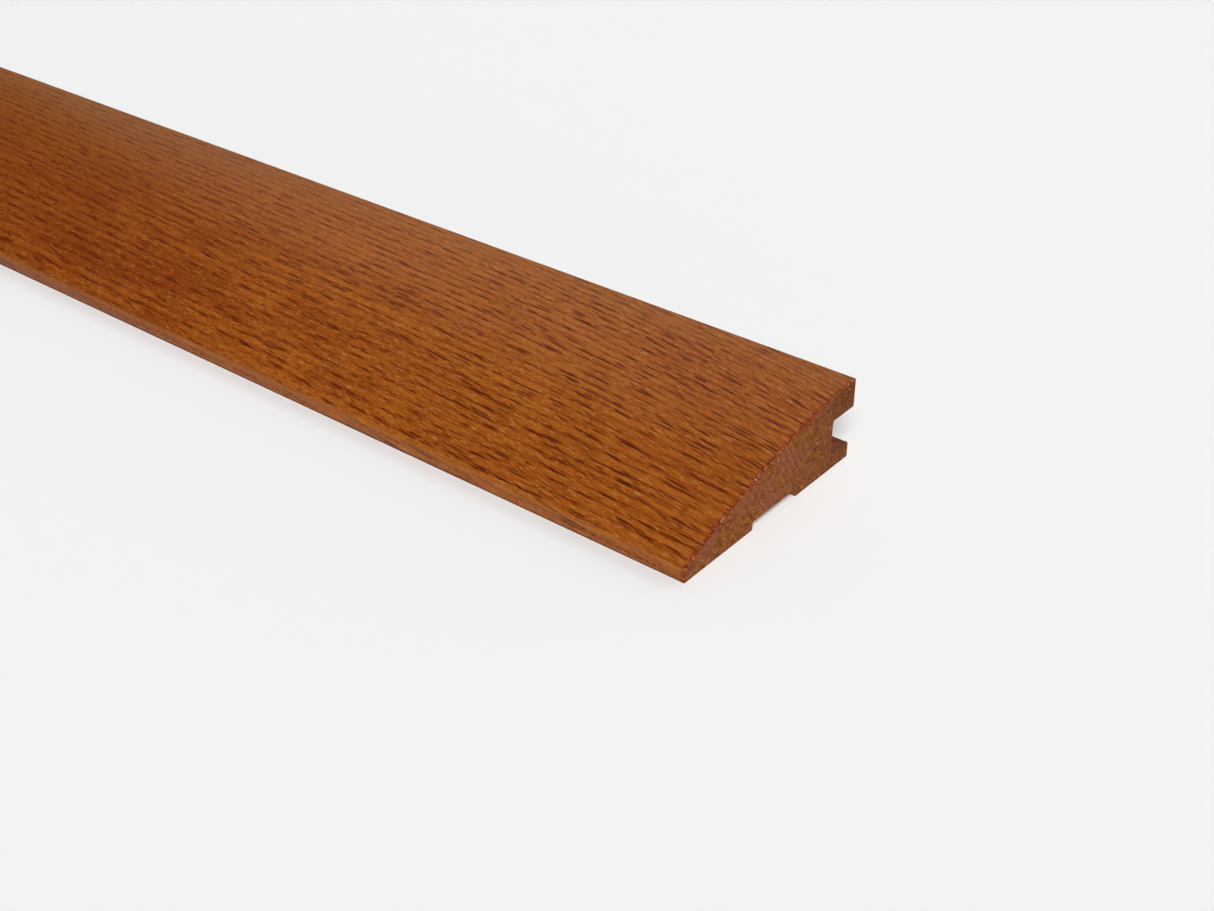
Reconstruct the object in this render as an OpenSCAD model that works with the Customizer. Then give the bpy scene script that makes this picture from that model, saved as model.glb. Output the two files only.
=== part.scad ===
// Flush reducer threshold strip: a solid oak moulding that ramps down from a
// thicker wooden floor to a thinner one, with a stained and lacquered skin.
// X runs along the doorway, Y from the thin nose to the grooved back, Z up.
// The origin is at the middle of the underside.

/* [Strip] */
// Length along the doorway
strip_l = 762; // [300:0.5:2000]
// Width from the nose to the back
strip_w = 57.15; // [50:0.05:70]
// Thickness at the back, where the strip meets the thicker floor
strip_t = 18; // [16:0.1:22]

/* [Domed top] */
// Height of the upright nose
nose_h = 3; // [2.5:0.1:5]
// Radius of the domed top in cross-section
dome_r = 171; // [120:1:400]
// Radius that eases the nose's top edge
nose_ease_r = 0.8; // [0.6:0.1:1.5]

/* [Finish] */
// Thickness of the stained and lacquered skin
finish_t = 0.4; // [0.3:0.05:0.5]

/* [Back groove] */
// Height of the groove that takes the floorboard's tongue
groove_h = 7.9; // [6:0.1:9]
// Depth of the groove, from the upper lip's face
groove_d = 7.6; // [5:0.1:10]
// Thickness of the lip under the groove
lower_lip_t = 3.5; // [2.5:0.1:5]
// How far the lower lip stands back from the upper one
lower_lip_setback = 1.1; // [0:0.1:2]
// Radius of the groove's inner corners
groove_corner_r = 0.6; // [0.3:0.1:1.5]

/* [Relief channel] */
// Width of the shallow channel in the underside
channel_w = 14.8; // [8:0.1:20]
// Depth of that channel
channel_d = 1.8; // [1:0.1:2.5]
// Distance from the nose to the channel
channel_y = 22; // [15:0.5:30]

/* [Hidden] */
past = 1; // how far a cutter runs past a face
arc_fn = 360;

// The dome passes through the nose's top and the back's top edge, so its
// centre lies below the middle of that chord.
chord = [strip_w, strip_t - nose_h];
chord_l = norm(chord);
sagitta_side = sqrt(pow(dome_r, 2) - pow(chord_l / 2, 2));
dome_y = strip_w / 2 + sagitta_side * chord[1] / chord_l;
dome_z = (nose_h + strip_t) / 2 - sagitta_side * chord[0] / chord_l;

// The easing circle touches the nose's face and the dome from inside.
ease_y = nose_ease_r;
ease_z = dome_z + sqrt(pow(dome_r - nose_ease_r, 2) - pow(ease_y - dome_y, 2));
ease_out = [ease_y - dome_y, ease_z - dome_z] / (dome_r - nose_ease_r);

module along_strip() {
    translate([-strip_l / 2, -strip_w / 2, 0])
        rotate([90, 0, 90])
            linear_extrude(height = strip_l) children();
}

// The corner between the nose's face and the dome, outside the easing circle.
module nose_corner_waste(inset) {
    reach = nose_ease_r + past;
    tip = [ease_y, ease_z] + ease_out * reach;
    difference() {
        polygon([[-past, ease_z], [ease_y, ease_z], tip, [-past, tip[1]]]);
        translate([ease_y, ease_z]) circle(r = nose_ease_r - inset, $fn = arc_fn);
    }
}

// The outline under the dome, with its top and nose pulled in by inset.
module domed_outline(inset) {
    difference() {
        intersection() {
            translate([inset, 0]) square([strip_w - inset, strip_t]);
            translate([dome_y, dome_z]) circle(r = dome_r - inset, $fn = arc_fn);
        }
        nose_corner_waste(inset);
    }
}

// A slot open at its right, with round inner corners at its left.
module groove_outline() {
    r = groove_corner_r;
    translate([r, 0]) square([groove_d - r + past, groove_h]);
    translate([0, r]) square([groove_d, groove_h - 2 * r]);
    for (z = [r, groove_h - r])
        translate([r, z]) circle(r = r, $fn = 48);
}

module back_cuts() {
    translate([strip_w - groove_d, lower_lip_t]) groove_outline();
    translate([strip_w - lower_lip_setback, -past])
        square([lower_lip_setback + past, lower_lip_t + past + groove_h / 2]);
}

module channel_cut() {
    translate([channel_y, -past]) square([channel_w, channel_d + past]);
}

// The solid oak moulding, below its finish.
module oak_strip() {
    color([0.50, 0.31, 0.18])
        along_strip()
            difference() {
                domed_outline(finish_t);
                back_cuts();
                channel_cut();
            }
}

// The stained and lacquered skin over the dome and down the nose.
module finish_skin() {
    color([0.57, 0.30, 0.11])
        along_strip()
            difference() {
                domed_outline(0);
                domed_outline(finish_t);
            }
}

oak_strip();
finish_skin();
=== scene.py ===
"""Threshold strip: an oak flush reducer under a stained and lacquered skin.

X runs along the strip, Y from the thin nose to the grooved back, Z up. Lengths are in metres,
apart from the shaders, which work in millimetres.
"""

import math
import random

import bpy
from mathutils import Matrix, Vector, noise
from mathutils.geometry import delaunay_2d_cdt


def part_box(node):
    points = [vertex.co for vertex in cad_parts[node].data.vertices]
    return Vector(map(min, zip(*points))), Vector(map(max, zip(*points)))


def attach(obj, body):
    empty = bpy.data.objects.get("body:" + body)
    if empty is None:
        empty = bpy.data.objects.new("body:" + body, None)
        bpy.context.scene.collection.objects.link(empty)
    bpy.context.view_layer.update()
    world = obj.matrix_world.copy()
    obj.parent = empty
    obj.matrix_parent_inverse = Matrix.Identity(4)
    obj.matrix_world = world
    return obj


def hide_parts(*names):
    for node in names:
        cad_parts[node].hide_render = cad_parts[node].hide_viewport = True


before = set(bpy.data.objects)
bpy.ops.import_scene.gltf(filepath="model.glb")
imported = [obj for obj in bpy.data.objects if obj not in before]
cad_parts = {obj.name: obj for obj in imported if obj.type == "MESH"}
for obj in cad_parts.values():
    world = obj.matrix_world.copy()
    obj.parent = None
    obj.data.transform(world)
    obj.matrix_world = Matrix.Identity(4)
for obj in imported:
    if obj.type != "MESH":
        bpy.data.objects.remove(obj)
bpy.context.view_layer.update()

MM = 0.001

# The strip's box and the skin's thickness come from the frame.
skin_low, skin_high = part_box("finish_skin")
oak_low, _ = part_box("oak_strip")
HALF_LENGTH = skin_high.x
NOSE_Y = skin_low.y
WIDTH = skin_high.y - skin_low.y
THICKNESS = skin_high.z
SKIN_T = oak_low.y - skin_low.y

# The cross-section's other dimensions, as in the CAD.
NOSE_HEIGHT = 3.0 * MM
DOME_R = 171.0 * MM
NOSE_EASE_R = 0.8 * MM
GROOVE_HEIGHT = 7.9 * MM
GROOVE_DEPTH = 7.6 * MM
LOWER_LIP_T = 3.5 * MM
LOWER_LIP_SETBACK = 1.1 * MM
GROOVE_CORNER_R = 0.6 * MM
CHANNEL_WIDTH = 14.8 * MM
CHANNEL_DEPTH = 1.8 * MM
CHANNEL_START = 22.0 * MM

# Details too small for the CAD.
ARRIS_R = 0.3 * MM
BACK_EDGE_R = 0.3 * MM
END_SLICE_T = 3.0 * MM
END_RIM_T = 0.3 * MM

# How finely the meshes follow the section's curves, its straight stretches, the length and the sawn
# ends, whose grid is jittered by a share of its pitch. Rings near a cut lie at these distances, in mm.
NOSE_STEPS = 10
EASE_STEPS = 8
DOME_STEPS = 220
CORNER_STEPS = 4
BACK_EDGE_STEPS = 5
STRAIGHT_STEP = 1.2 * MM
LENGTH_STEP = 6.5 * MM
END_GRID = 0.42 * MM
END_JITTER = 0.3
OAK_RINGS_MM = (0.0, 3.0)
SKIN_RINGS_MM = (0.0, 0.1, 0.22, 0.4, 0.65, 1.0, 1.6, 2.6, 4.0)
SHARP_ANGLE = math.radians(35)

# What the triangulation is told: to keep only what is inside, and how near points have to be to merge.
KEEP_INSIDE = 1
MERGE_WITHIN = 1e-9


# ---------------------------------------------------------------- cross-section

def dome_centre():
    """The centre of the dome's circle, which passes through the nose's top and the back's."""
    rise = THICKNESS - NOSE_HEIGHT
    chord = math.hypot(WIDTH, rise)
    away = math.sqrt(DOME_R**2 - (chord / 2) ** 2)
    return Vector((
        WIDTH / 2 + away * rise / chord,
        (NOSE_HEIGHT + THICKNESS) / 2 - away * WIDTH / chord,
    ))


def arc(centre, radius, start, end, count):
    """count points on a circle from angle start to angle end, without the first."""
    turn = [start + (end - start) * i / count for i in range(1, count + 1)]
    return [centre + radius * Vector((math.cos(a), math.sin(a))) for a in turn]


def line(start, end, count):
    """count points from start to end, without the first."""
    return [start.lerp(end, i / count) for i in range(1, count + 1)]


def spaced(start, end):
    """Evenly spaced points along a long straight stretch, without its first."""
    return line(start, end, max(1, round((end - start).length / STRAIGHT_STEP)))


def circle_inside(centre, radius, y):
    """The centre of a small circle of that radius, at y, which touches the dome from inside."""
    reach = DOME_R - radius
    return Vector((y, centre.y + math.sqrt(reach**2 - (y - centre.x) ** 2)))


def skin_path(inset, eased_back=True):
    """The section's dome side, from the nose's foot to the back's top edge, pulled in by inset."""
    centre = dome_centre()
    ease = circle_inside(centre, NOSE_EASE_R, NOSE_EASE_R)
    nose_turn = math.atan2(ease.y - centre.y, ease.x - centre.x)
    back = circle_inside(centre, BACK_EDGE_R, WIDTH - BACK_EDGE_R)
    back_turn = math.atan2(back.y - centre.y, back.x - centre.x)
    path = [Vector((inset, 0))]
    path += line(path[0], Vector((inset, ease.y)), NOSE_STEPS)
    path += arc(ease, NOSE_EASE_R - inset, math.pi, nose_turn, EASE_STEPS)
    path += arc(centre, DOME_R - inset, nose_turn, back_turn, DOME_STEPS)
    if eased_back:
        path += arc(back, BACK_EDGE_R, back_turn, 0, BACK_EDGE_STEPS)
    else:
        edge_turn = math.acos((WIDTH - centre.x) / (DOME_R - inset))
        path += arc(centre, DOME_R - inset, back_turn, edge_turn, BACK_EDGE_STEPS)
    return path


def fillet(before, corner, after, radius):
    """Replaces a corner with an arc of that radius."""
    to_before = (before - corner).normalized()
    to_after = (after - corner).normalized()
    half = to_before.angle(to_after) / 2
    cut = radius / math.tan(half)
    centre = corner + (to_before + to_after).normalized() * radius / math.sin(half)
    first = corner + to_before * cut - centre
    last = corner + to_after * cut - centre
    start = math.atan2(first.y, first.x)
    turn = math.remainder(math.atan2(last.y, last.x) - start, math.tau)
    return [centre + first] + arc(centre, radius, start, start + turn, CORNER_STEPS)


def oak_outline():
    """The wood's closed section, from the nose's foot over the dome, down the back and home."""
    dome = skin_path(SKIN_T, eased_back=False)
    groove_top = LOWER_LIP_T + GROOVE_HEIGHT
    groove_y = WIDTH - GROOVE_DEPTH
    lip_y = WIDTH - LOWER_LIP_SETBACK
    channel_end = CHANNEL_START + CHANNEL_WIDTH
    corners = [
        (WIDTH, groove_top, ARRIS_R),
        (groove_y, groove_top, GROOVE_CORNER_R),
        (groove_y, LOWER_LIP_T, GROOVE_CORNER_R),
        (lip_y, LOWER_LIP_T, ARRIS_R),
        (lip_y, 0, ARRIS_R),
        (channel_end, 0, ARRIS_R),
        (channel_end, CHANNEL_DEPTH, ARRIS_R),
        (CHANNEL_START, CHANNEL_DEPTH, ARRIS_R),
        (CHANNEL_START, 0, ARRIS_R),
    ]
    points = [dome[-1]] + [Vector(c[:2]) for c in corners] + [dome[0]]
    outline = list(dome)
    for i, (_, _, radius) in enumerate(corners, start=1):
        turned = fillet(points[i - 1], points[i], points[i + 1], radius)
        outline += spaced(outline[-1], turned[0]) + turned[1:]
    return outline + spaced(outline[-1], dome[0])[:-1]


def place(point, x):
    """A section point (from the nose, height) put at x in the frame."""
    return Vector((x, NOSE_Y + point.x, point.y))


# ---------------------------------------------------------------- meshes

def stations(half, near):
    """Places along X from -half to half, with extra ones this near both ends, in millimetres."""
    ends = [half - d * MM for d in near]
    span = ends[-1]
    count = round(2 * span / LENGTH_STEP)
    middle = [-span + 2 * span * i / count for i in range(1, count)]
    return [-x for x in ends] + middle + ends[::-1]


def tube(rings, count):
    """Quads that join each ring of count vertices to the next."""
    return [
        (start + i, start + (i + 1) % count, start + count + (i + 1) % count, start + count + i)
        for start in range(0, (rings - 1) * count, count)
        for i in range(count)
    ]


def fill(outline, extra=()):
    """Triangles in a closed section, with the extra points as corners too, after the outline's."""
    count = len(outline)
    points = list(outline) + list(extra)
    edges = [(i, (i + 1) % count) for i in range(count)]
    found = delaunay_2d_cdt(points, edges, [list(range(count))], KEEP_INSIDE, MERGE_WITHIN)
    return [Vector(p) for p in found[0]], [tuple(f) for f in found[2]]


def outward(vertices, faces):
    """The faces, all turned the other way if the closed mesh they make is inside out."""
    volume = 0.0
    for f in faces:
        a = vertices[f[0]]
        for b, c in zip(f[1:-1], f[2:]):
            volume += a.dot(vertices[b].cross(vertices[c]))
    return faces if volume > 0 else [tuple(reversed(f)) for f in faces]


def make_piece(name, vertices, faces, node, material):
    """A smooth-shaded closed mesh that rides on the strip's one body and stands for a CAD node."""
    mesh = bpy.data.meshes.new(name)
    mesh.from_pydata([tuple(v) for v in vertices], [], outward(vertices, faces))
    mesh.validate()
    mesh.polygons.foreach_set("use_smooth", [True] * len(mesh.polygons))
    mesh.set_sharp_from_angle(angle=SHARP_ANGLE)
    mesh.materials.append(material)
    piece = bpy.data.objects.new(name, mesh)
    bpy.context.scene.collection.objects.link(piece)
    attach(piece, "root")
    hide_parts(node)
    return piece


def inside(point, outline):
    """Whether a point lies within a closed section."""
    crossings = 0
    for a, b in zip(outline, outline[1:] + outline[:1]):
        if (a.y > point.y) != (b.y > point.y):
            crossings += point.x < a.x + (point.y - a.y) * (b.x - a.x) / (b.y - a.y)
    return crossings % 2 == 1


def clear_of(point, outline, gap):
    return all((point - p).length > gap for p in outline)


def end_points(outline, seed):
    """Jittered grid points inside the section, for the sawn face's relief."""
    rng = random.Random(seed)
    found = []
    for i in range(int(WIDTH / END_GRID) + 1):
        for j in range(int(THICKNESS / END_GRID) + 1):
            jitter = Vector([rng.uniform(-END_JITTER, END_JITTER) for _ in range(2)])
            point = (Vector((i, j)) + jitter) * END_GRID
            if inside(point, outline) and clear_of(point, outline, END_GRID / 2):
                found.append(point)
    return found


# The saw's relief: where its blade turned, the arcs' turn per millimetre, the depth of the arcs, the
# fuzz and the torn fibres, and the share of all that along the face's outline.
SAW_CENTRE = Vector((0.03, -0.10))
BLADE_TURN = 4.1
BLADE_DEPTH = 0.02 * MM
FUZZ_DEPTH = 0.03 * MM
TEAR_DEPTH = 0.16 * MM
OUTLINE_SHARE = 0.5


def saw_relief(point, seed):
    """How far the sawn face lies below its true plane: blade arcs, fuzz and torn fibres."""
    sweep = (point - SAW_CENTRE).length / MM
    blade = 0.5 + 0.5 * math.sin(sweep * BLADE_TURN + seed)
    grain = Vector((point.x, point.y, seed * MM)) / MM
    fuzz = abs(noise.noise(grain * 1.3))
    tear = max(0.0, noise.noise(grain * 0.45) - 0.25)
    return BLADE_DEPTH * blade + FUZZ_DEPTH * fuzz + TEAR_DEPTH * tear


def end_slice(side, outline, material):
    """A thin slice of the wood at a cut end, with a finely meshed sawn face."""
    points, tris = fill(outline, end_points(outline, seed=11 + side))
    count = len(outline)
    rings = [HALF_LENGTH - END_SLICE_T, HALF_LENGTH - END_RIM_T]
    vertices = [place(p, side * x) for x in rings for p in outline]
    top = len(vertices)
    for k, p in enumerate(points):
        share = 1.0 if k >= count else OUTLINE_SHARE
        vertices.append(place(p, side * (HALF_LENGTH - saw_relief(p, 3.0 + side) * share)))
    faces = tube(len(rings) + 1, count)
    faces += [tuple(top + i for i in f) for f in tris]
    faces += [tuple(reversed(f)) for f in fill(outline)[1]]
    name = "oak_end_right" if side > 0 else "oak_end_left"
    return make_piece(name, vertices, faces, "oak_strip", material)


def oak_body(outline, material):
    """The wood between the two end slices."""
    xs = stations(HALF_LENGTH - END_SLICE_T, OAK_RINGS_MM)
    count = len(outline)
    vertices = [place(p, x) for x in xs for p in outline]
    tris = fill(outline)[1]
    last = (len(xs) - 1) * count
    faces = tube(len(xs), count)
    faces += [tuple(reversed(f)) for f in tris]
    faces += [tuple(last + i for i in f) for f in tris]
    return make_piece("oak_moulding", vertices, faces, "oak_strip", material)


# Flakes in the skin's cut edge, in millimetres: the gaps between them, how far each reaches along
# the edge and how deep it is. Past this share of the edge, near the back, they are shallower.
FLAKE_GAP_MM = (0.3, 2.2)
FLAKE_REACH_MM = (0.2, 0.6)
FLAKE_DEPTH_MM = (0.05, 0.34)
NEAR_BACK = 0.7
SHALLOWER = 0.55

# How far along the strip a flake bends the mesh, the depth that counts as a full chip, and how near
# the cut a vertex has to be to carry the colour of one.
FLAKE_FADE = 1.2 * MM
FULL_CHIP = 0.2 * MM
AT_CUT = 0.05 * MM


class Flakes:
    """Where the saw broke small flakes out of the skin's cut edge, along its path."""

    def __init__(self, seed, length):
        rng = random.Random(seed)
        self.found = []
        at = 0.0
        while at < length:
            at += rng.uniform(*FLAKE_GAP_MM) * MM
            strong = 1.0 if at < NEAR_BACK * length else SHALLOWER
            reach = rng.uniform(*FLAKE_REACH_MM) * MM
            depth = rng.uniform(*FLAKE_DEPTH_MM) * MM * strong
            self.found.append((at, reach, depth))

    def depth(self, at):
        """The depth of the break at this distance along the path."""
        deepest = 0.0
        for centre, reach, depth in self.found:
            off = abs(at - centre) / reach
            if off < 1:
                deepest = max(deepest, depth * (1 - off**2))
        return deepest


def path_lengths(path):
    total = [0.0]
    for a, b in zip(path, path[1:]):
        total.append(total[-1] + (b - a).length)
    return total


def skin_ends(last, count, half_count):
    """Quads across the shell at its two cut ends; the last ring's vertices start at last."""
    faces = []
    for start, flip in ((0, True), (last, False)):
        for k in range(half_count - 1):
            quad = (start + k, start + k + 1, start + count - 2 - k, start + count - 1 - k)
            faces.append(tuple(reversed(quad)) if flip else quad)
    return faces


def finish_skin(material):
    """The skin: a closed shell over the dome and the nose, with chipped cut edges."""
    outer = skin_path(0.0)
    inner = skin_path(SKIN_T, eased_back=False)
    along = path_lengths(outer)
    flakes = {side: Flakes(40 + side, along[-1]) for side in (-1, 1)}
    ring = outer + inner[::-1]
    count, half_count = len(ring), len(outer)
    xs = stations(HALF_LENGTH, SKIN_RINGS_MM)
    vertices, chips = [], []
    for x in xs:
        side = 1 if x > 0 else -1
        inward = HALF_LENGTH - abs(x)
        for k, p in enumerate(ring):
            depth = flakes[side].depth(along[k]) if k < half_count else 0.0
            shift = depth * max(0.0, 1 - inward / FLAKE_FADE)
            vertices.append(place(p, x - side * shift))
            chips.append(min(1.0, depth / FULL_CHIP) if inward < AT_CUT else 0.0)
    faces = tube(len(xs), count) + skin_ends((len(xs) - 1) * count, count, half_count)
    piece = make_piece("lacquered_skin", vertices, faces, "finish_skin", material)
    chip = piece.data.attributes.new("chip", "FLOAT", "POINT")
    chip.data.foreach_set("value", chips)
    return piece


# ---------------------------------------------------------------- shader fields

class Field:
    """A number that varies over a surface, which can be added, multiplied and so on."""

    def __init__(self, graph, socket):
        self.graph = graph
        self.socket = socket

    def __add__(self, other):
        return self.graph.math("ADD", self, other)

    def __sub__(self, other):
        return self.graph.math("SUBTRACT", self, other)

    def __mul__(self, other):
        return self.graph.math("MULTIPLY", self, other)

    def __truediv__(self, other):
        return self.graph.math("DIVIDE", self, other)

    def __rsub__(self, other):
        return self.graph.math("SUBTRACT", other, self)


class Graph:
    """The node tree of a new material or world, with a short call for each kind of node used."""

    def __init__(self, made):
        self.made = made
        made.use_nodes = True
        self.tree = made.node_tree
        self.tree.nodes.clear()

    def node(self, kind, inputs=(), **settings):
        made = self.tree.nodes.new(kind)
        for key, value in settings.items():
            setattr(made, key, value)
        for key, value in dict(inputs).items():
            self.feed(made.inputs[key], value)
        return made

    def feed(self, socket, value):
        if isinstance(value, Field):
            self.tree.links.new(value.socket, socket)
        else:
            socket.default_value = value

    def math(self, operation, *values):
        made = self.node("ShaderNodeMath", enumerate(values), operation=operation)
        return Field(self, made.outputs[0])

    def vector(self, x, y, z):
        made = self.node("ShaderNodeCombineXYZ", {"X": x, "Y": y, "Z": z})
        return Field(self, made.outputs[0])

    def position(self):
        """X, Y and Z on the strip, in millimetres."""
        coordinates = self.node("ShaderNodeTexCoord").outputs["Object"]
        split = self.node("ShaderNodeSeparateXYZ", {0: Field(self, coordinates)})
        return [Field(self, split.outputs[i]) * (1 / MM) for i in range(3)]

    def noise(self, x, y, z, detail=2.0, roughness=0.5):
        """Smooth noise from 0 to 1, with features about one unit across."""
        inputs = {"Vector": self.vector(x, y, z), "Scale": 1.0, "Detail": detail, "Roughness": roughness}
        return Field(self, self.node("ShaderNodeTexNoise", inputs).outputs["Fac"])

    def cells(self, x, y, z):
        """Scattered cells one unit apart: the distance from each centre, and two random numbers."""
        made = self.node("ShaderNodeTexVoronoi", {"Vector": self.vector(x, y, z), "Scale": 1.0})
        split = self.node("ShaderNodeSeparateColor", {"Color": Field(self, made.outputs["Color"])})
        found = (made.outputs["Distance"], split.outputs[0], split.outputs[1])
        return [Field(self, socket) for socket in found]

    def step(self, value, start, end):
        """Rises smoothly from 0 to 1 as value goes from start to end, which may be the lower."""
        inputs = {"Value": value, "From Min": start, "From Max": end}
        made = self.node("ShaderNodeMapRange", inputs, interpolation_type="SMOOTHSTEP")
        return Field(self, made.outputs["Result"])

    def mix(self, share, first, second):
        """The first colour, with a share of the second."""
        made = self.node("ShaderNodeMix", data_type="RGBA")
        self.feed(made.inputs[0], share)
        for key, colour in ((6, first), (7, second)):
            self.feed(made.inputs[key], colour if isinstance(colour, Field) else (*colour, 1.0))
        return Field(self, made.outputs[2])

    def glaze(self, colour, *coats):
        """The colour under coats of other colours, each with its share, the last one on top."""
        for share, coat in coats:
            colour = self.mix(share, colour, coat)
        return colour

    def bump(self, height, distance, strength):
        inputs = {"Height": height, "Strength": strength, "Distance": distance}
        return Field(self, self.node("ShaderNodeBump", inputs).outputs["Normal"])

    def finish(self, **inputs):
        """Ends the tree in a Principled shader with these inputs."""
        named = {key.replace("_", " "): value for key, value in inputs.items()}
        shader = self.node("ShaderNodeBsdfPrincipled", named)
        out = self.node("ShaderNodeOutputMaterial")
        self.tree.links.new(shader.outputs[0], out.inputs[0])
        return self.made


# ---------------------------------------------------------------- oak

# The strip's ends and long edges in the shaders' millimetres.
END_MM = HALF_LENGTH / MM
NOSE_MM = NOSE_Y / MM
BACK_MM = -NOSE_MM

# How the grain runs: the tree's pith, the width of a ring and how fast the rings close up towards
# the back, the slopes at which the grain dives and drifts along the strip, and how far it leans
# towards the nose at the right-hand end, fading out along the strip.
PITH_MM = (-84.0, -90.0)
RING_MM = 2.1
RING_CLOSING = 0.0035
DIVE = 0.145
DRIFT = 0.03
LEAN = 0.36
LEAN_REACH = 60.0

# Waves in the grain: each one's size along X and across it, its seed and its swing, in millimetres.
WANDER = (150.0, 50.0, 0.0, 5.0)
WAVER = (24.0, 6.0, 7.0, 0.8)
FRAY = (1.6, 0.7, 0.0, 0.16)
ROLL = (30.0, 6.0, 19.0, 0.8)

# The size of the wood's features along X, across the grain and in depth, and the spacing of the big
# vessels and of the fine ones across the grain.
BLOTCH_MM = (34.0, 9.0, 9.0)
FIBRE_MM = (7.0, 0.26, 0.2)
STREAK_MM = (30.0, 0.9, 0.9)
GLINT_MM = (6.0, 0.32, 0.25)
VESSEL_MM = 0.72
FINE_VESSEL_MM = 0.40

# Zones that differ in tone, each from where it begins to where it is full: along the strip, in
# millimetres from the right-hand end, across it from the nose, or on the frame's Y.
# Towards the far end the stain is painted redder and darker: painted shade.
FAR_SHADE_ALONG = (110.0, 240.0)
# A paler patch over the crown near the right-hand end: painted light.
LIT_PATCH_ALONG = (15.0, 75.0)
LIT_PATCH_ACROSS = (10.0, 34.0)
CALM_ALONG = (20.0, 170.0)
CALM_ACROSS = (8.0, 44.0)
PATCHY_ALONG = (55.0, 160.0)
PATCHY_ACROSS = (50.0, 18.0)
BEHIND_Y = (-8.0, 22.0)


class Oak:
    """Red oak as a solid: rings of slanting vessels, fibres and blotches, each from 0 to 1.

    The grain dives a little towards the right-hand end, so the vessels meet the long faces as short
    dashes and the cut ends as dots. bore scales how wide they look: stain widens them. end is the
    distance to the nearer cut, and grain_y and grain_z stay the same all along a fibre.
    """

    def __init__(self, g, bore=1.0):
        self.x, self.y, self.z = g.position()
        from_right = END_MM - self.x
        across = self.y - NOSE_MM
        self.end = END_MM - g.math("ABSOLUTE", self.x)
        self.mark_zones(g, from_right, across)
        self.slant(g, from_right, across)
        self.early = self.rings(g, across)
        self.blotch = self.drawn_out(g, BLOTCH_MM, 0.0, 3.0, 0.6)
        self.fibre = self.drawn_out(g, FIBRE_MM, 0.0, 3.0, 0.65)
        self.streak = self.drawn_out(g, STREAK_MM, 5.0)
        self.glint = g.step(self.drawn_out(g, GLINT_MM, 31.0), 0.55, 0.72)
        self.pores, self.halo = self.vessels(g, VESSEL_MM, self.early * 0.88 + 0.08, 0.64 * bore)
        self.fine_pores, _ = self.vessels(g, FINE_VESSEL_MM, self.early * 0.25 + 0.40, 0.54 * bore)

    def mark_zones(self, g, from_right, across):
        """The far end with its painted shade, the back, the patch of painted light near the right-hand
        end, and the calm and patchy parts, each from 0 to 1.
        """
        self.far = g.step(from_right, *FAR_SHADE_ALONG)
        self.behind = g.step(self.y, *BEHIND_Y)
        lit_patch_across = g.step(across, *LIT_PATCH_ACROSS)
        self.pale = g.step(from_right, *LIT_PATCH_ALONG) * lit_patch_across * (1.0 - self.far)
        self.calm = g.step(from_right, *CALM_ALONG) * (g.step(across, *CALM_ACROSS) * 0.6 + 0.4)
        self.patchy = g.step(from_right, *PATCHY_ALONG) * g.step(across, *PATCHY_ACROSS)

    def wave(self, g, along, across, seed, swing):
        """How far a wave in the grain swings it aside, in millimetres."""
        return (g.noise(self.x / along, self.y / across, self.z / across + seed) - 0.5) * swing

    def slant(self, g, from_right, across):
        """Follows the grain: where the fibre through a point crosses the section."""
        lean = g.math("EXPONENT", from_right * (-1 / LEAN_REACH)) * across
        leaning = self.y + lean * (LEAN * LEAN_REACH * MM / WIDTH)
        waves = self.wave(g, *WANDER) + self.wave(g, *WAVER) + self.wave(g, *FRAY)
        self.grain_y = leaning + waves - from_right * DRIFT
        self.grain_z = self.z + (self.wave(g, *ROLL) - from_right * DIVE)

    def rings(self, g, across):
        """The early wood of each ring, in which the big vessels crowd."""
        out_y, out_z = self.grain_y - PITH_MM[0], self.z - PITH_MM[1]
        radius = g.math("SQRT", out_y * out_y + out_z * out_z)
        uneven = g.noise(radius / 9.0, 0.0, 0.0) * 3.5
        uneven += g.noise(radius / 3.0, 4.0, self.x / 90.0) * 1.7
        uneven += g.noise(radius / 1.5, 9.0, self.x / 22.0) * 0.6
        closing = across * across * RING_CLOSING
        phase = g.math("FRACT", (radius + closing + uneven) / RING_MM)
        return g.step(phase, 0.58, 0.12)

    def drawn_out(self, g, size, seed, detail=2.0, roughness=0.5):
        """Noise drawn out along the grain, with features of this size."""
        along, across, deep = size
        grain_z = self.grain_z / deep + seed
        return g.noise(self.x / along, self.grain_y / across, grain_z, detail, roughness)

    def vessels(self, g, spacing, share, size):
        """Long pores in a share of the cells across the grain, and the stain round them."""
        distance, chance, vary = g.cells(self.grain_y / spacing, self.grain_z / spacing, 0.0)
        held = g.math("LESS_THAN", chance, share)
        reach = (vary * 0.4 + 0.6) * size
        depth = held * (vary * 0.45 + 0.55)
        return g.step(distance, reach, reach * 0.45) * depth, g.step(distance, 0.82, 0.25) * held

    def under_dome(self, g):
        """Depth below the domed top, in millimetres."""
        centre = dome_centre() / MM
        off_y = self.y - (NOSE_MM + centre.x)
        off_z = self.z - centre.y
        return DOME_R / MM - g.math("SQRT", off_y * off_y + off_z * off_z)


# The skin's colours, in linear RGB, the depth of its open pores, and where on the frame's Y, in
# millimetres, the dark line along the cut begins to fade and has faded.
STAIN_LIGHT = (0.378, 0.1090, 0.0112)
STAIN_MID = (0.245, 0.0475, 0.0032)
STAIN_RED = (0.170, 0.0215, 0.0020)
STAIN_PORE = (0.062, 0.0074, 0.0010)
STAIN_SECTION = (0.170, 0.0145, 0.0015)
# A paler, duller stain tone that partly stands in for sheen: painted sheen on the nose and along the
# back.
STAIN_PALE_AND_SHEEN = (0.30, 0.122, 0.028)
STAIN_OLIVE = (0.235, 0.100, 0.0050)
STAIN_GLINT = (0.53, 0.205, 0.046)
CHIPPED = (0.60, 0.34, 0.25)
PORE_DEPTH = 0.06 * MM
CUT_FADE_Y = (-6.0, 24.0)


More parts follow.
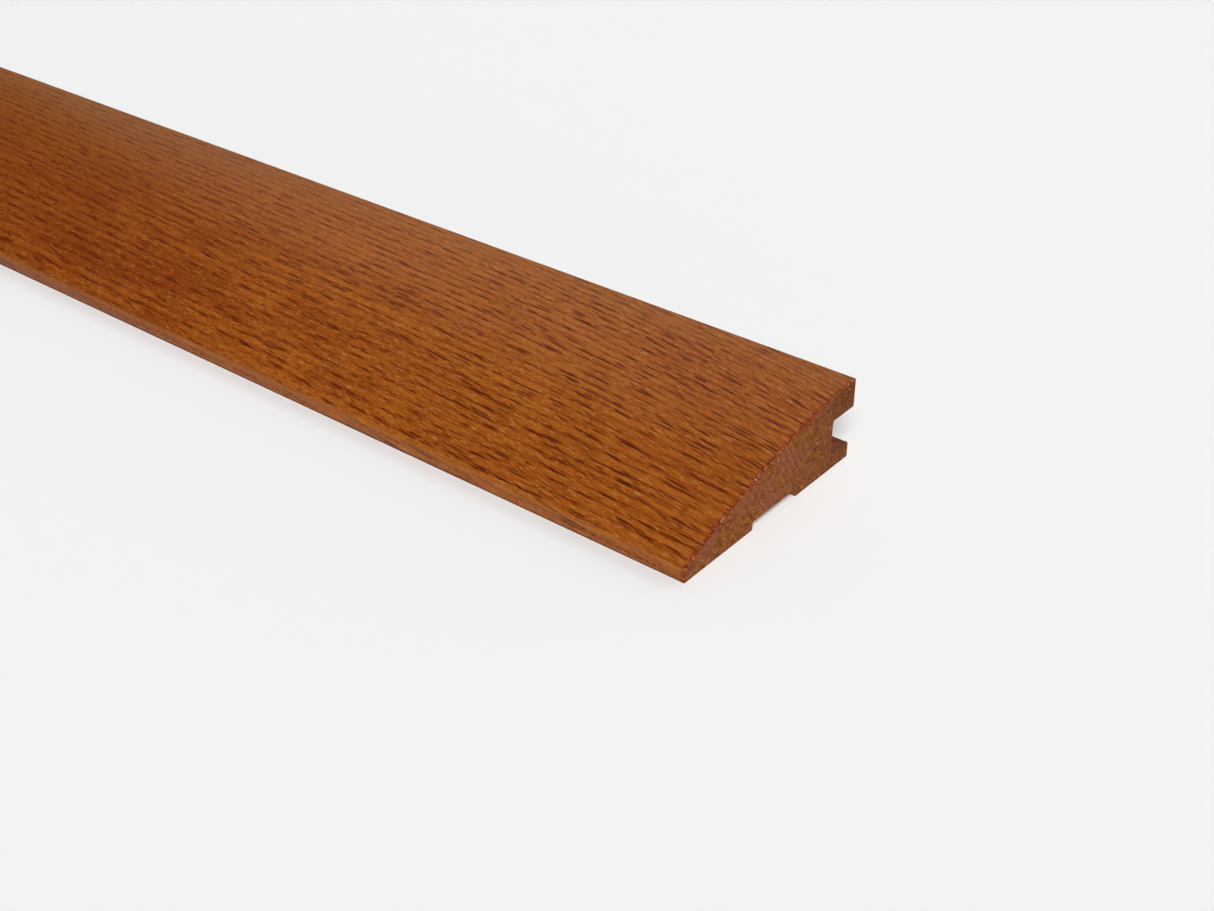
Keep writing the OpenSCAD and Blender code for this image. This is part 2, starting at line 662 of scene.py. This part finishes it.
def stained_colour(g, oak):
    """Stain on planed oak: light and dark fibres, red blotches, glints and dark pores, with painted
    light near the right-hand end and painted shade towards the far end.
    """
    grained = oak.fibre * 0.7 + oak.streak * 0.3 + (oak.fibre - 0.5) * oak.calm * 0.4
    # oak.pale lightens the tone over that patch: painted light.
    tone = g.step(grained + oak.pale * 0.065, 0.355, 0.62)
    return g.glaze(
        g.mix(tone, STAIN_MID, STAIN_LIGHT),
        (g.step(oak.blotch, 0.38, 0.66) * (oak.patchy * 0.45 + 0.12), STAIN_RED),
        # Redder and darker towards the far end, olive towards the back: painted shade.
        (oak.far * (0.42 - oak.behind * 0.12), STAIN_RED),
        (oak.far * oak.behind * 0.3, STAIN_OLIVE),
        (oak.early * (oak.calm * 0.06 + 0.28), STAIN_RED),
        (oak.glint * (0.80 - oak.calm * 0.46) * (1.0 - oak.far * 0.45), STAIN_GLINT),
        (oak.halo * (0.60 - oak.calm * 0.06), STAIN_RED),
        (oak.fine_pores * (0.88 - oak.calm * 0.36), STAIN_PORE),
        (oak.pores * (0.94 - oak.calm * 0.62), STAIN_PORE),
    )


def edged_colour(g, oak, colour, on_nose):
    """Adds the cloudy nose, partly a painted sheen, a painted contact shadow along its foot, a painted
    highlight on its top arris, a paler band along the back that is partly a painted sheen, and a painted
    shade line on the back edge.
    """
    mist = g.noise(oak.x / 1.3, oak.y / 0.5, oak.z / 0.5, 3.0, 0.6)
    foot = g.step(oak.z + mist * 0.5, 0.85, 0.3)
    arris_highlight = g.step(oak.y, NOSE_MM + 1.5, NOSE_MM + 0.5) * g.step(oak.z, 2.2, 2.8)
    near_back = g.step(oak.y, BACK_MM - 11.0, BACK_MM - 1.0)
    back_edge_shade = g.step(oak.y, BACK_MM - 0.6, BACK_MM - 0.2)
    return g.glaze(
        colour,
        (on_nose * g.step(mist, 0.35, 0.7) * 0.3, STAIN_RED),
        # Paler, duller patches on the nose: partly the stain's tone, partly a painted sheen.
        (on_nose * g.step(mist, 0.65, 0.35) * 0.55, STAIN_PALE_AND_SHEEN),
        # The nose is darker towards the far end: painted shade.
        (on_nose * oak.far * 0.25, STAIN_PORE),
        # The nose's lowest strip darkened: a painted contact shadow.
        (foot * 0.7, STAIN_PORE),
        # A lighter line along the nose's top arris: a painted highlight.
        (arris_highlight * g.step(mist, 0.45, 0.7) * 0.4, STAIN_GLINT),
        # A paler band along the back: partly the stain's tone, partly a painted sheen.
        (near_back * 0.24, STAIN_PALE_AND_SHEEN),
        # A dark line along the back edge: painted shade.
        (back_edge_shade * 0.5, STAIN_PORE),
    )


def cut_colour(g, oak, colour, section, ragged):
    """Adds the dark red line along the saw cut, with its pale flecks and chips."""
    blobs = g.step(g.noise(oak.y / 0.7, oak.z / 0.7, oak.x / 1.1 + 13.0, 2.0, 0.6), 0.36, 0.58)
    fresh = 1.0 - g.step(oak.y, *CUT_FADE_Y) * 0.2
    flecks = g.noise(oak.y / 0.45, oak.z / 0.45, oak.x / 0.6 + 23.0)
    chip = Field(g, g.node("ShaderNodeAttribute", attribute_name="chip").outputs["Fac"])
    return g.glaze(
        colour,
        (section * (blobs * 0.45 + 0.5) * fresh, STAIN_SECTION),
        (section * g.step(flecks, 0.58, 0.72) * 0.5, CHIPPED),
        (g.step(chip, 0.25, 0.8) * g.step(ragged, 0.44, 0.58) * 0.62, CHIPPED),
    )


def skin_material():
    """Stain under thin lacquer, with sunken pores and a dull, dark red line along the saw cuts."""
    g = Graph(bpy.data.materials.new("stained_lacquered_oak"))
    oak = Oak(g)
    on_nose = g.step(oak.y, NOSE_MM + 0.7, NOSE_MM + 0.1)
    ragged = g.noise(oak.y / 1.2, oak.z / 1.2, oak.x / 0.9, 4.0, 0.7)
    section = g.step(oak.end, ragged * 6.0 - 2.05, ragged * 3.2 - 1.38)
    sawn = g.step(oak.end, 0.06, 0.0)
    torn = g.step(oak.under_dome(g) - ragged * 0.9, -0.26, -0.12) * sawn
    colour = edged_colour(g, oak, stained_colour(g, oak), on_nose)
    colour = cut_colour(g, oak, colour, section, ragged)
    hollow = oak.pores * 0.8 + oak.fine_pores * 0.3 + oak.fibre * 0.12
    return g.finish(
        Base_Color=g.mix(torn * 0.85, colour, SAWN_BROWN),
        Roughness=oak.fibre * 0.14 + oak.pores * 0.2 + section * 0.15 + sawn * 0.3 + 0.27,
        Normal=g.bump(1.0 - hollow, PORE_DEPTH, 0.7),
        Coat_Weight=(0.17 - on_nose * 0.11) * (1.0 - section),
        Coat_Roughness=0.18,
        Coat_IOR=1.5,
        Specular_IOR_Level=0.12,
    )


# Bare wood's colours, planed and then sawn, in linear RGB, the depth of its grain and the pitch of
# the planer's knife marks.
RAW_LIGHT = (0.30, 0.135, 0.058)
RAW_MID = (0.20, 0.075, 0.026)
RAW_PINK = (0.235, 0.085, 0.042)
RAW_PORE = (0.055, 0.018, 0.007)
SAWN_BROWN = (0.150, 0.037, 0.0072)
SAWN_OCHRE = (0.250, 0.087, 0.0105)
SAWN_PINK = (0.222, 0.069, 0.032)
SAWN_DARK = (0.055, 0.014, 0.0035)
SAWN_PALE = (0.48, 0.25, 0.15)
RAW_GRAIN_DEPTH = 0.12 * MM
KNIFE_PITCH_MM = 1.4

# Where the end grain turns pink and where it darkens, on the frame's Y and Z, in millimetres.
PINK_Y = (16.0, -2.0)
DARK_Y = (4.0, 27.0)
DARK_TIP_Y = (23.5, 27.5)
DARK_UPPER_Y = (17.0, 26.0)
DARK_UPPER_Z = (10.0, 15.0)


def planed_colour(g, oak):
    """Bare planed oak: pinkish brown with dark pores."""
    tone = g.step(oak.fibre * 0.7 + oak.streak * 0.3, 0.3, 0.72)
    return g.glaze(
        g.mix(tone, RAW_MID, RAW_LIGHT),
        (g.step(oak.blotch, 0.45, 0.7) * 0.6, RAW_PINK),
        (oak.early * 0.25, RAW_MID),
        (oak.fine_pores * 0.45, RAW_PORE),
        (oak.pores * 0.7, RAW_PORE),
    )


def dark_lips(g, oak):
    """Where the end grain darkens: towards the back, on the upper lip and on the lower lip's tip."""
    off_tip = g.math("ABSOLUTE", oak.z - LOWER_LIP_T / MM)
    tip = g.step(oak.y, *DARK_TIP_Y) * g.step(off_tip, 3.0, 0.3)
    upper = g.step(oak.y, *DARK_UPPER_Y) * g.step(oak.z, *DARK_UPPER_Z)
    return tip * 0.6 + g.step(oak.y, *DARK_Y) * 0.7 + upper * 0.5


def torn_specks(g, oak):
    """Pale specks of torn fibre, thickest just below the skin."""
    distance, chance, _ = g.cells(oak.y / 1.1, oak.z / 1.1, 0.0)
    near_skin = g.step(oak.under_dome(g), 2.2, 0.5)
    return g.step(distance, 0.26, 0.12) * g.math("LESS_THAN", chance, near_skin * 0.4 + 0.06)


def sawn_colour(g, oak):
    """End grain: granular, mottled pink and ochre, with pale torn specks below the skin."""
    mottle = g.noise(oak.y / 1.7, oak.z / 1.4, 3.0, 3.0, 0.6)
    zone = g.noise(oak.y / 9.0, oak.z / 6.0, 8.0, 3.0, 0.6)
    towards_nose = g.step(oak.y, *PINK_Y) * 0.5 + 0.35
    fall, rise = oak.y * 0.7 - oak.z * 0.7, oak.y * 0.7 + oak.z * 0.7
    streaks = g.noise(fall / 3.2, rise / 0.6, 6.0, 3.0, 0.6)
    grit = g.noise(oak.y / 0.5, oak.z / 0.5, 5.0, 2.0, 0.6)
    return g.glaze(
        g.mix(g.step(mottle, 0.38, 0.62), SAWN_BROWN, SAWN_OCHRE),
        (g.step(zone, 0.42, 0.60) * towards_nose, SAWN_PINK),
        (g.step(streaks, 0.52, 0.72) * 0.55, SAWN_OCHRE),
        (g.step(streaks, 0.48, 0.28) * 0.5, SAWN_DARK),
        (oak.early * 0.22, SAWN_DARK),
        (oak.fine_pores * 0.25 + oak.pores * 0.4, SAWN_DARK),
        (dark_lips(g, oak) * 0.45, SAWN_DARK),
        (g.step(grit, 0.48, 0.28) * 0.36, SAWN_DARK),
        (g.step(grit, 0.53, 0.72) * 0.38, SAWN_PALE),
        (torn_specks(g, oak) * 0.8, SAWN_PALE),
        # Darker along the end's bottom edge: a painted contact shadow.
        (g.step(oak.z, 0.4, 0.1) * 0.6, SAWN_DARK),
    )


def groove_shade(g, oak):
    """Rises from 0 outside the groove to 1 inside it, where painted shade darkens the wood."""
    groove_floor = BACK_MM - GROOVE_DEPTH / MM
    half_height = GROOVE_HEIGHT / 2 / MM
    off_middle = g.math("ABSOLUTE", oak.z - (LOWER_LIP_T / MM + half_height))
    beyond_floor = g.step(oak.y, groove_floor - 1.475, groove_floor + 1.025)
    return beyond_floor * g.step(off_middle, half_height + 0.35, half_height - 0.15)


def raw_material():
    """Bare oak, planed along its length and sawn at its ends, with stain splashed over its edges and
    painted shade in its groove.
    """
    g = Graph(bpy.data.materials.new("raw_red_oak"))
    oak = Oak(g, bore=0.68)
    at_end = g.step(oak.end, 0.6, 0.25)
    splash = g.noise(oak.x / 5.0, oak.y / 1.6, oak.z / 1.6, 3.0, 0.6)
    over_back = g.step(oak.under_dome(g) - splash * 3.2, 0.2, -0.6)
    over_nose = g.step(oak.y - splash * 5.0, NOSE_MM + 0.6, NOSE_MM - 0.8)
    planed = g.glaze(
        planed_colour(g, oak),
        (over_back * 0.8, STAIN_MID),
        (over_nose * 0.8, STAIN_MID),
        # Darker inside the groove: painted shade.
        (groove_shade(g, oak) * (splash * 0.6 + 0.35), STAIN_PORE),
    )
    knife = g.math("SINE", oak.x * (math.tau / KNIFE_PITCH_MM)) * (1.0 - at_end) * 0.12
    grain = oak.pores * 0.7 + oak.fine_pores * 0.3 + oak.fibre * 0.35
    hollow = grain * (1.0 - at_end * 0.4) + knife
    return g.finish(
        Base_Color=g.mix(at_end, planed, sawn_colour(g, oak)),
        Roughness=oak.fibre * 0.2 + 0.66,
        Normal=g.bump(1.0 - hollow, RAW_GRAIN_DEPTH, 0.8),
        Specular_IOR_Level=0.06,
    )


# ---------------------------------------------------------------- studio

FLOOR_SIZE = 24.0
FLOOR_COLOUR = (0.93, 0.93, 0.93, 1.0)

# Each lamp: the direction it shines from, how wide it looks, in degrees, and its strength.
LAMPS = {
    "key_light": ((0.466, -0.508, 0.72), 30, 3.05),
    "fill_light": ((0.775, 0.449, 0.449), 34, 0.46),
    "back_light": ((0.15, 0.88, 0.45), 50, 0.7),
    "sheen_light": ((-0.48, 0.69, 0.54), 50, 0.26),
}

# The pale walls all round fade into the dark ceiling between these two heights, each given as the
# sine of its angle above the horizon.
FADE_LOW = 0.06
FADE_HIGH = 0.28
HORIZON_LIGHT = 0.85
OVERHEAD_LIGHT = 0.03


def make_floor():
    bpy.ops.mesh.primitive_plane_add(size=FLOOR_SIZE)
    floor = bpy.context.object
    floor.name = "studio_floor"
    g = Graph(bpy.data.materials.new("pale_floor"))
    floor.data.materials.append(g.finish(Base_Color=FLOOR_COLOUR, Roughness=0.9))


def soft_light(name, shines_from, spread, strength):
    data = bpy.data.lights.new(name, "SUN")
    data.angle = math.radians(spread)
    data.energy = strength
    lamp = bpy.data.objects.new(name, data)
    bpy.context.scene.collection.objects.link(lamp)
    lamp.rotation_euler = Vector(shines_from).to_track_quat("Z", "Y").to_euler()


def make_world():
    """Pale walls all round, low down, and a dark ceiling that the lacquer hardly mirrors."""
    world = bpy.data.worlds.new("studio")
    bpy.context.scene.world = world
    g = Graph(world)
    towards = g.node("ShaderNodeTexCoord").outputs["Generated"]
    height = g.node("ShaderNodeSeparateXYZ", {0: Field(g, towards)}).outputs[2]
    low = g.step(Field(g, height), FADE_HIGH, FADE_LOW)
    glow = low * (HORIZON_LIGHT - OVERHEAD_LIGHT) + OVERHEAD_LIGHT
    back = g.node("ShaderNodeBackground", {"Color": (1.0, 1.0, 1.0, 1.0), "Strength": glow})
    g.tree.links.new(back.outputs[0], g.node("ShaderNodeOutputWorld").inputs[0])


def studio():
    make_floor()
    for name, lamp in LAMPS.items():
        soft_light(name, *lamp)
    make_world()
    bpy.context.scene.view_settings.view_transform = "Standard"


# The camera stands beyond the right-hand end, in front of the nose, looking down at the cut end.
CAMERA_FROM_END = Vector((146.9, -206.2, 189.1)) * MM
CAMERA_LOOK = Vector((-0.5271, 0.6582, -0.5375))
CAMERA_LENS = 50.7


def make_camera():
    data = bpy.data.cameras.new("camera")
    data.sensor_width = 36.0
    data.lens = CAMERA_LENS
    data.clip_start = 0.01
    data.clip_end = 50.0
    camera = bpy.data.objects.new("camera", data)
    bpy.context.scene.collection.objects.link(camera)
    camera.location = Vector((HALF_LENGTH, NOSE_Y, 0.0)) + CAMERA_FROM_END
    camera.rotation_euler = CAMERA_LOOK.to_track_quat("-Z", "Y").to_euler()
    bpy.context.scene.camera = camera


# ---------------------------------------------------------------- build

outline = oak_outline()
raw_oak = raw_material()
oak_body(outline, raw_oak)
for side in (-1, 1):
    end_slice(side, outline, raw_oak)
finish_skin(skin_material())
studio()
make_camera()
